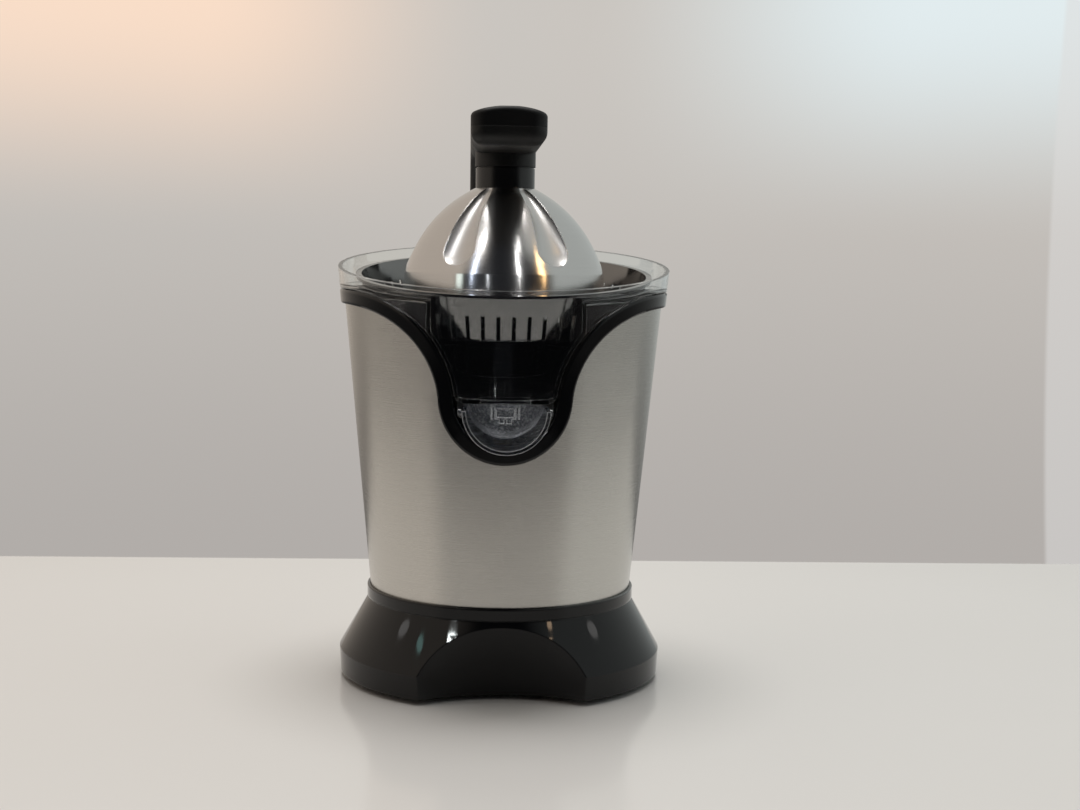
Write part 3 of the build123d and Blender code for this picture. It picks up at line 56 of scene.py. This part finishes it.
class Tree:
    """A node tree with short calls for the nodes used here."""

    def __init__(self, owner):
        owner.use_nodes = True
        self.nodes = owner.node_tree.nodes
        self.links = owner.node_tree.links
        self.nodes.clear()

    def add(self, kind, inputs=None, **settings):
        node = self.nodes.new(kind)
        for key, value in settings.items():
            setattr(node, key, value)
        for key, value in (inputs or {}).items():
            self.put(node.inputs[key], value)
        return node

    def put(self, socket, value):
        if isinstance(value, bpy.types.NodeSocket):
            self.links.new(value, socket)
        else:
            socket.default_value = value

    def math(self, operation, a, b=0.0):
        return self.add("ShaderNodeMath", {0: a, 1: b}, operation=operation).outputs[0]

    def split(self, vector):
        return self.add("ShaderNodeSeparateXYZ", {"Vector": vector}).outputs

    def join(self, **axes):
        return self.add("ShaderNodeCombineXYZ", axes).outputs["Vector"]

    def measure(self, operation, a, b=(0.0, 0.0, 0.0)):
        """A number from one or two vectors: a length, a distance or a dot product."""
        return self.add("ShaderNodeVectorMath", {0: a, 1: b}, operation=operation).outputs["Value"]

    def ramp(self, value, low, high, start=0.0, stop=1.0, shape="LINEAR"):
        """Map a value from start..stop onto low..high."""
        inputs = {"Value": value, "From Min": start, "From Max": stop, "To Min": low, "To Max": high}
        return self.add("ShaderNodeMapRange", inputs, interpolation_type=shape).outputs["Result"]

    def blend(self, fac, first, second):
        """Mix two colours; the mix node's colour sockets are found by number."""
        inputs = {"Factor": fac, 6: first, 7: second}
        return self.add("ShaderNodeMix", inputs, data_type="RGBA").outputs[2]


class Finish(Tree):
    """A material's tree around one main shader."""

    def __init__(self, name):
        self.material = bpy.data.materials.new(name)
        super().__init__(self.material)
        self.out = self.add("ShaderNodeOutputMaterial")
        self.shader = self.add("ShaderNodeBsdfPrincipled")
        self.put(self.out.inputs["Surface"], self.shader.outputs["BSDF"])

    def set(self, **values):
        for key, value in values.items():
            self.put(self.shader.inputs[key.replace("_", " ")], value)

    def place(self):
        """Object coordinates, in metres."""
        return self.add("ShaderNodeTexCoord").outputs["Object"]

    def noise(self, vector, scale, detail=2.0, roughness=0.5):
        inputs = {"Vector": vector, "Scale": scale, "Detail": detail, "Roughness": roughness}
        return self.add("ShaderNodeTexNoise", inputs).outputs["Fac"]

    def edge(self, radius):
        """Normal that turns over the edges, as if they were rounded."""
        return self.add("ShaderNodeBevel", {"Radius": radius}, samples=6).outputs["Normal"]

    def bump(self, height, strength, distance, edge):
        inputs = {"Height": height, "Strength": strength, "Distance": distance, "Normal": self.edge(edge)}
        return self.add("ShaderNodeBump", inputs).outputs["Normal"]


def rgb(r, g, b):
    return (r, g, b, 1.0)


def dimmed(tint, share):
    return rgb(*[c * share for c in tint])


# Materials

def ring_coords(t, turns, rows):
    """Coordinates that run round Z and along it, for lines brushed round the body."""
    axes = t.split(t.place())
    angle = t.math("ARCTAN2", axes["X"], axes["Y"])
    return t.join(X=t.math("MULTIPLY", angle, turns), Z=t.math("MULTIPLY", axes["Z"], rows))


def pressed_mask(t):
    """One in the dome's pressed flutes, which lie inside the arc of its meridian."""
    axes = t.split(t.place())
    radius = t.measure("LENGTH", t.join(X=axes["X"], Y=axes["Y"]))
    across = t.math("ADD", radius, DOME_ARC_BACK)
    above = t.math("SUBTRACT", axes["Z"], DOME_ARC_Z)
    squares = t.math("ADD", t.math("MULTIPLY", across, across), t.math("MULTIPLY", above, above))
    inside = t.ramp(t.math("SQRT", squares), 1.0, 0.0, *FLUTE_SKIN)
    return t.math("MULTIPLY", inside, t.ramp(above, 0.0, 1.0, *FLUTE_LOW_END))


def brushed(name, tint, rough, spread, turns, rows, contrast, depth, edge=0.3 * MM, flutes=False):
    """Steel with fine lines round Z, which spread reflections up and down."""
    line_share, broad_share = 0.7, 0.3
    line_wear = 0.02
    flute_wear = 0.14
    flute_spread = 0.3
    t = Finish(name)
    lines = t.noise(ring_coords(t, turns, rows), scale=1.0, detail=3.0, roughness=0.65)
    broad = t.noise(ring_coords(t, turns * 0.5, rows * 0.1), scale=1.0)
    cloud = t.noise(t.place(), scale=18.0, detail=3.0)
    tone = t.math("ADD", t.math("MULTIPLY", lines, line_share), t.math("MULTIPLY", broad, broad_share))
    dark = dimmed(tint, 1.0 - contrast)
    t.set(Base_Color=t.blend(t.ramp(tone, 0.0, 1.0, *NARROW), dark, rgb(*tint)))
    patch = t.ramp(cloud, rough * 0.93, rough * 1.07, *WIDE)
    wear = t.math("ADD", t.ramp(lines, -line_wear, line_wear, *NARROW), patch)
    if flutes:
        mask = pressed_mask(t)
        wear = t.math("ADD", wear, t.math("MULTIPLY", mask, flute_wear))
        spread = t.ramp(mask, spread, flute_spread)
    t.set(Metallic=1.0, Roughness=wear, Anisotropic=spread, Anisotropic_Rotation=0.25)
    t.set(Tangent=t.add("ShaderNodeTangent", direction_type="RADIAL", axis="Z").outputs["Tangent"])
    t.set(Normal=t.bump(lines, strength=0.2, distance=depth, edge=edge))
    return t.material


def moulded(name, tint, rough, grain, depth, edge, gloss=0.5):
    """Moulded plastic: fine grain, faint smudges and softened edges."""
    t = Finish(name)
    place = t.place()
    smudge = t.noise(place, scale=22.0, detail=4.0, roughness=0.6)
    fine = t.noise(place, scale=grain)
    t.set(Base_Color=t.blend(smudge, dimmed(tint, 0.8), rgb(*tint)))
    t.set(Roughness=t.ramp(smudge, rough * 0.8, rough * 1.25, *WIDE))
    t.set(Specular_IOR_Level=gloss)
    t.set(Normal=t.bump(fine, strength=0.3, distance=depth, edge=edge))
    return t.material


def edge_mask(t, radius):
    """One along the edges of the piece and nought on its faces."""
    edge_dot, face_dot = 0.72, 0.97
    face = t.add("ShaderNodeNewGeometry").outputs["Normal"]
    return t.ramp(t.measure("DOT_PRODUCT", t.edge(radius), face), 1.0, 0.0, edge_dot, face_dot)


def rim_mask(t, place):
    """One on the top of the bowl's slanting rim."""
    axes = t.split(place)
    level = t.math("SUBTRACT", axes["Z"], t.math("MULTIPLY", axes["Y"], RIM_SLOPE))
    return t.ramp(level, 0.0, 1.0, *RIM_TOP)


def clear_plastic(name, tint, rough, edge_highlight, rim_highlight, mask_radius):
    """Clear moulded plastic with a faint ripple and a few scuffs; its edges, most of all along the bowl's
    rim, turn milky white as a painted highlight.
    """
    scuff_span = (0.35, 0.7)
    t = Finish(name)
    place = t.place()
    scuff = t.noise(place, scale=90.0, detail=5.0, roughness=0.65)
    wave = t.noise(place, scale=40.0, detail=1.0)
    # Painted highlight: the edges and the top of the rim lose transmission and show the white tint,
    # standing in for glints along the edges.
    haze_and_highlight = t.ramp(rim_mask(t, place), edge_highlight, rim_highlight)
    haze_and_highlight = t.math("MULTIPLY", edge_mask(t, mask_radius), haze_and_highlight)
    t.set(Base_Color=rgb(*tint), IOR=CLEAR_IOR)
    t.set(Transmission_Weight=t.math("SUBTRACT", 1.0, haze_and_highlight))
    t.set(Roughness=t.ramp(scuff, rough * 0.6, rough * 1.6, *scuff_span))
    t.set(Normal=t.bump(wave, strength=0.05, distance=0.2 * MM, edge=0.5 * MM))
    return t.material


def spout_plastic():
    """The spout's clear plastic: ribbed and milky at the back, with a painted highlight along the front
    rim.
    """
    clear_tint = rgb(0.62, 0.64, 0.68)
    # White of the painted highlight along the front lip.
    rim_highlight_tint = rgb(0.97, 0.97, 0.99)
    clear_rough, back_rough = 0.03, 0.2
    ring_rate = 4200.0
    ring_share = 0.5
    speckle_span = (0.4, 0.65)
    speckle_haze = (0.25, 0.85)
    t = Finish("clear_spout")
    place = t.place()
    axes = t.split(place)
    from_axis = t.join(X=axes["X"], Z=t.math("SUBTRACT", axes["Z"], SPOUT_AXIS_Z))
    rings = t.math("SINE", t.math("MULTIPLY", t.measure("LENGTH", from_axis), ring_rate))
    speckle = t.noise(place, scale=700.0, detail=3.0, roughness=0.7)
    back = t.ramp(axes["Y"], 0.0, 1.0, *SPOUT_BACK_Y)
    # Painted highlight: a white milky line along the edges of the front lip, laid over the milky speckled
    # back.
    rim = t.math("MULTIPLY", t.ramp(axes["Y"], 1.0, 0.0, *SPOUT_LIP_Y), edge_mask(t, 1.0 * MM))
    haze_and_highlight = t.math("MULTIPLY", back, t.ramp(speckle, *speckle_haze, *speckle_span))
    haze_and_highlight = t.math("MAXIMUM", haze_and_highlight, rim)
    ribs = t.math("ADD", t.math("MULTIPLY", rings, ring_share), speckle)
    ribs = t.math("MULTIPLY", ribs, back)
    t.set(Base_Color=t.blend(rim, clear_tint, rim_highlight_tint), IOR=CLEAR_IOR)
    t.set(Transmission_Weight=t.math("SUBTRACT", 1.0, haze_and_highlight))
    t.set(Roughness=t.ramp(back, clear_rough, back_rough))
    t.set(Normal=t.bump(ribs, strength=0.5, distance=0.3 * MM, edge=0.5 * MM))
    return t.material


def plain_metal(name, tint, rough, scale):
    """Bare or plated metal with small spots."""
    t = Finish(name)
    spots = t.noise(t.place(), scale, detail=4.0, roughness=0.6)
    t.set(Base_Color=t.blend(spots, dimmed(tint, 0.75), rgb(*tint)))
    t.set(Metallic=1.0, Roughness=t.ramp(spots, rough * 0.75, rough * 1.3, *WIDE))
    t.set(Normal=t.bump(spots, strength=0.15, distance=0.05 * MM, edge=0.2 * MM))
    return t.material


# One finish for each material slot of the record
finishes = {
    "gloss_black": moulded(
        "gloss_black_plastic", (0.004, 0.0042, 0.005),
        rough=0.03, grain=900.0, depth=0.001 * MM, edge=1.1 * MM, gloss=0.32),
    "matte_black": moulded(
        "matte_black_plastic", (0.0035, 0.0035, 0.004),
        rough=0.22, grain=3500.0, depth=0.02 * MM, edge=0.4 * MM),
    "soft_black": moulded(
        "soft_touch_black", (0.0065, 0.0065, 0.007),
        rough=0.50, grain=4000.0, depth=0.05 * MM, edge=0.5 * MM, gloss=0.3),
    "semi_black": moulded(
        "semi_gloss_black", (0.014, 0.014, 0.014),
        rough=0.48, grain=3000.0, depth=0.04 * MM, edge=0.5 * MM, gloss=0.35),
    "rubber": moulded(
        "black_rubber", (0.02, 0.02, 0.02),
        rough=0.7, grain=2500.0, depth=0.1 * MM, edge=0.4 * MM),
    "clear": clear_plastic(
        "clear_plastic", (0.93, 0.945, 0.95),
        rough=0.012, edge_highlight=0.15, rim_highlight=0.6, mask_radius=0.8 * MM),
    "brushed_steel": brushed(
        "brushed_steel_sleeve", (0.575, 0.56, 0.527),
        rough=0.27, spread=0.8, turns=1.0, rows=14000.0, contrast=0.06, depth=0.005 * MM),
    "zinc": plain_metal("zinc_plated_steel", (0.62, 0.63, 0.65), rough=0.32, scale=800.0),
    "lamination": plain_metal("lamination_steel", (0.30, 0.30, 0.32), rough=0.45, scale=1200.0),
    "aluminium": plain_metal("cast_aluminium", (0.70, 0.70, 0.71), rough=0.45, scale=1500.0),
    "bronze": plain_metal("sintered_bronze", (0.55, 0.36, 0.18), rough=0.40, scale=1800.0),
    "copper": plain_metal("enamelled_copper", (0.62, 0.26, 0.11), rough=0.28, scale=900.0),
    "white_nylon": moulded(
        "white_nylon", (0.78, 0.76, 0.70),
        rough=0.40, grain=2000.0, depth=0.05 * MM, edge=0.3 * MM),
}

# Nodes that look different from the rest of their slot
own_finish = {
    "press_dome": brushed(
        "spun_steel_dome", (0.64, 0.63, 0.62),
        rough=0.19, spread=0.85, turns=1.2, rows=6000.0, contrast=0.05, depth=0.003 * MM,
        edge=1.0 * MM, flutes=True),
    # Painted shade: the strainer's steel tint is far darker than the other steel, for its place deep in
    # the bowl.
    "strainer": brushed(
        "shade_darkened_steel_strainer", (0.225, 0.222, 0.219),
        rough=0.12, spread=0.4, turns=1.5, rows=7000.0, contrast=0.05, depth=0.002 * MM),
    "dome_collar": moulded(
        "collar_black", (0.008, 0.008, 0.009),
        rough=0.26, grain=3000.0, depth=0.02 * MM, edge=0.5 * MM),
    "bowl_cradle": moulded(
        "cradle_black", (0.006, 0.006, 0.007),
        rough=0.12, grain=3000.0, depth=0.01 * MM, edge=0.5 * MM),
    "juice_spout": spout_plastic(),
    "spout_catch": clear_plastic(
        "clear_catch", (0.92, 0.93, 0.95),
        rough=0.03, edge_highlight=0.95, rim_highlight=0.95, mask_radius=1.6 * MM),
}
slot_of = {row["node"]: row["material_slot"] for row in frame["record"]["subparts"]}
for name, obj in nodes.items():
    for holder in obj.material_slots:
        holder.material = own_finish.get(name, finishes[slot_of[name]])


# Stage

def floor():
    """Pale glossy table with a straight back edge, which fades out far from the part."""
    radius = 2.4
    drop = 0.2 * MM
    back_edge = (0.36, 0.363)
    middle = (0.0, 0.3, 0.0)
    fade_span = (0.64, 0.9)
    bpy.ops.mesh.primitive_circle_add(vertices=96, radius=radius, fill_type="NGON", location=(0, 0, -drop))
    disc = bpy.context.object
    disc.name = "floor"
    t = Finish("floor_pale")
    place = t.place()
    cloud = t.noise(place, scale=3.0, detail=3.0)
    t.set(Base_Color=t.blend(cloud, rgb(0.84, 0.82, 0.80), rgb(0.87, 0.855, 0.84)))
    t.set(Roughness=0.14)
    behind = t.ramp(t.split(place)["Y"], 0.0, 1.0, *back_edge)
    far = t.ramp(t.measure("DISTANCE", place, middle), 0.0, 1.0, *fade_span)
    gone = t.add("ShaderNodeBsdfTransparent").outputs["BSDF"]
    fade = {0: t.math("MAXIMUM", behind, far), 1: t.shader.outputs["BSDF"], 2: gone}
    t.put(t.out.inputs["Surface"], t.add("ShaderNodeMixShader", fade).outputs["Shader"])
    disc.data.materials.append(t.material)


def lamp(name, turn, rise, width, height, radiance, tint, only=None, roll=0.0, distance=LAMP_DISTANCE):
    """Oval lamp seen from the part at a turn left or right of the front and a rise above the table."""
    data = bpy.data.lights.new(name, "AREA")
    data.shape = "ELLIPSE"
    data.size = width
    data.size_y = height
    data.energy = radiance * math.pi * math.pi * data.size * data.size_y / 4.0
    data.color = tint
    obj = bpy.data.objects.new(name, data)
    bpy.context.scene.collection.objects.link(obj)
    a = math.radians(turn)
    e = math.radians(rise)
    way = Vector((math.sin(a) * math.cos(e), -math.cos(a) * math.cos(e), math.sin(e)))
    obj.location = LAMP_AIM + way * distance
    facing = (-way).to_track_quat("-Z", "Y") @ Quaternion((0.0, 0.0, 1.0), math.radians(roll))
    obj.rotation_euler = facing.to_euler()
    obj.visible_camera = False
    if only is not None:
        obj.light_linking.receiver_collection = only


def lit_only(name, *receivers):
    """Collection of the pieces that one group of lamps lights."""
    group = bpy.data.collections.new(name)
    for node in receivers:
        group.objects.link(nodes[node])
    return group


def world():
    """Light tent, warm on the left, cool on the right and dark in front; the camera sees a wall with
    painted shade low down and painted glows of light at the top left and right.
    """
    warm_side = rgb(0.60, 0.53, 0.46)
    cool_side = rgb(0.52, 0.55, 0.535)
    ceiling = rgb(0.55, 0.53, 0.50)
    ground = rgb(0.14, 0.135, 0.13)
    dark = rgb(0.02, 0.021, 0.024)
    wall_low_shaded = rgb(0.44, 0.415, 0.395)
    wall_high = rgb(0.59, 0.56, 0.525)
    warm_glow = rgb(0.95, 0.73, 0.58)
    cool_glow = rgb(0.76, 0.84, 0.86)
    side_wall = rgb(0.72, 0.71, 0.70)
    side_share = 0.5
    studio = bpy.data.worlds.new("studio")
    bpy.context.scene.world = studio
    t = Tree(studio)
    way = t.split(t.add("ShaderNodeTexCoord").outputs["Generated"])

    def rise(axis, start, stop, top=1.0):
        """Nought to top as the direction's part along an axis goes from start to stop."""
        return t.ramp(way[axis], 0.0, top, start, stop, "SMOOTHSTEP")

    def fall(axis, start, stop):
        return t.ramp(way[axis], 1.0, 0.0, start, stop, "SMOOTHSTEP")

    tent = t.blend(rise("X", -0.5, 0.5), warm_side, cool_side)
    tent = t.blend(rise("Z", 0.75, 0.95), tent, ceiling)
    tent = t.blend(fall("Z", -0.2, -0.02), tent, ground)
    tent = t.blend(fall("Y", -0.70, -0.45), tent, dark)
    middle = t.math("MULTIPLY", rise("X", -0.4, -0.2), fall("X", 0.2, 0.4))
    tent = t.blend(t.math("MULTIPLY", middle, fall("Y", -0.4, -0.15)), tent, dark)

    # Wall seen by the camera: painted shade darkens it towards the table, and painted pools of light glow
    # warm at the top left and cool at the top right.
    high = rise("Z", 0.0, 0.14)
    wall = t.blend(rise("Z", -0.2, 0.14), wall_low_shaded, wall_high)
    wall = t.blend(t.math("MULTIPLY", rise("X", 0.02, -0.16), high), wall, warm_glow)
    wall = t.blend(t.math("MULTIPLY", rise("X", 0.06, 0.26), high), wall, cool_glow)
    wall = t.blend(rise("X", 0.325, 0.328, side_share), wall, side_wall)
    seen = t.blend(t.add("ShaderNodeLightPath").outputs["Is Camera Ray"], tent, wall)
    back = t.add("ShaderNodeBackground", {"Color": seen, "Strength": 1.0})
    t.add("ShaderNodeOutputWorld", {"Surface": back.outputs["Background"]})


def camera():
    """Camera at the photo's viewpoint: angles in radians, focal length and picture width in pixels."""
    place = Vector((-20.55, -1027.3, 263.7)) * MM
    heading = 0.0424
    pitch = 0.0961
    roll = 0.0154
    focal = 1690.0
    picture = 1080.0
    sensor = 36.0
    level = math.cos(pitch)
    forward = Vector((math.sin(heading) * level, math.cos(heading) * level, -math.sin(pitch)))
    right = Vector((math.cos(heading), -math.sin(heading), 0.0))
    up = right.cross(forward)
    right_rolled = right * math.cos(roll) + up * math.sin(roll)
    up_rolled = up * math.cos(roll) - right * math.sin(roll)
    data = bpy.data.cameras.new("camera")
    data.sensor_width = sensor
    data.lens = sensor * focal / picture
    obj = bpy.data.objects.new("camera", data)
    bpy.context.scene.collection.objects.link(obj)
    turn = Matrix((right_rolled, up_rolled, -forward)).transposed().to_4x4()
    obj.matrix_world = Matrix.Translation(place) @ turn
    bpy.context.scene.camera = obj


floor()
world()
camera()
bpy.context.scene.view_settings.view_transform = "Standard"

# One lamp for everything, then groups that put the photo's reflections on single pieces
lamp("lamp_top", turn=180.0, rise=84.0, width=1.1, height=1.1, radiance=7.2, tint=(1.0, 0.98, 0.96),
     distance=2.0)
dome_only = lit_only("dome_lit", "press_dome")
clear_only = lit_only("clear_lit", "juice_bowl", "juice_spout", "spout_catch")
base_only = lit_only("base_lit", "base_shell")
lamp("fill_clear", turn=-35.0, rise=35.0, width=0.4, height=0.4, radiance=25.0, tint=(1.0, 0.99, 0.98),
     only=clear_only)
lamp("spot_white", turn=-45.2, rise=36.4, width=0.22, height=0.015, radiance=130.0, tint=(0.93, 1.0, 1.0),
     only=base_only, roll=14.0)
lamp("spot_teal", turn=-71.0, rise=29.6, width=0.17, height=0.022, radiance=3.0, tint=(0.5, 1.0, 0.95),
     only=base_only, roll=16.0)
lamp("spot_warm", turn=47.5, rise=36.3, width=0.12, height=0.016, radiance=8.0, tint=(1.0, 0.7, 0.45),
     only=base_only, roll=-14.0)
lamp("spot_left", turn=-90.0, rise=23.9, width=0.25, height=0.03, radiance=1.6, tint=(1.0, 1.0, 1.0),
     only=base_only, roll=23.0)
lamp("spot_right", turn=86.0, rise=24.6, width=0.25, height=0.03, radiance=1.6, tint=(1.0, 0.97, 0.95),
     only=base_only, roll=-23.0)
lamp("flood_left", turn=-40.0, rise=56.0, width=0.16, height=0.4, radiance=14.0, tint=(1.0, 0.99, 0.97),
     only=dome_only)
lamp("flood_right", turn=24.0, rise=56.0, width=0.07, height=0.3, radiance=9.0, tint=(1.0, 0.98, 0.95),
     only=dome_only)
lamp("strip_white", turn=16.5, rise=31.0, width=0.06, height=1.4, radiance=12.0, tint=(1.0, 1.0, 1.0),
     only=dome_only)
lamp("strip_warm", turn=45.0, rise=27.0, width=0.18, height=1.2, radiance=6.0, tint=(1.0, 0.62, 0.28),
     only=dome_only)
lamp("strip_blue", turn=-38.0, rise=29.0, width=0.10, height=1.3, radiance=7.0, tint=(0.72, 0.82, 1.0),
     only=dome_only)
lamp("strip_thin", turn=-19.0, rise=12.0, width=0.03, height=0.4, radiance=8.0, tint=(0.9, 0.95, 1.0),
     only=dome_only)
lamp("strip_green", turn=-52.0, rise=9.0, width=0.25, height=0.4, radiance=2.0, tint=(0.85, 1.0, 0.95),
     only=dome_only)
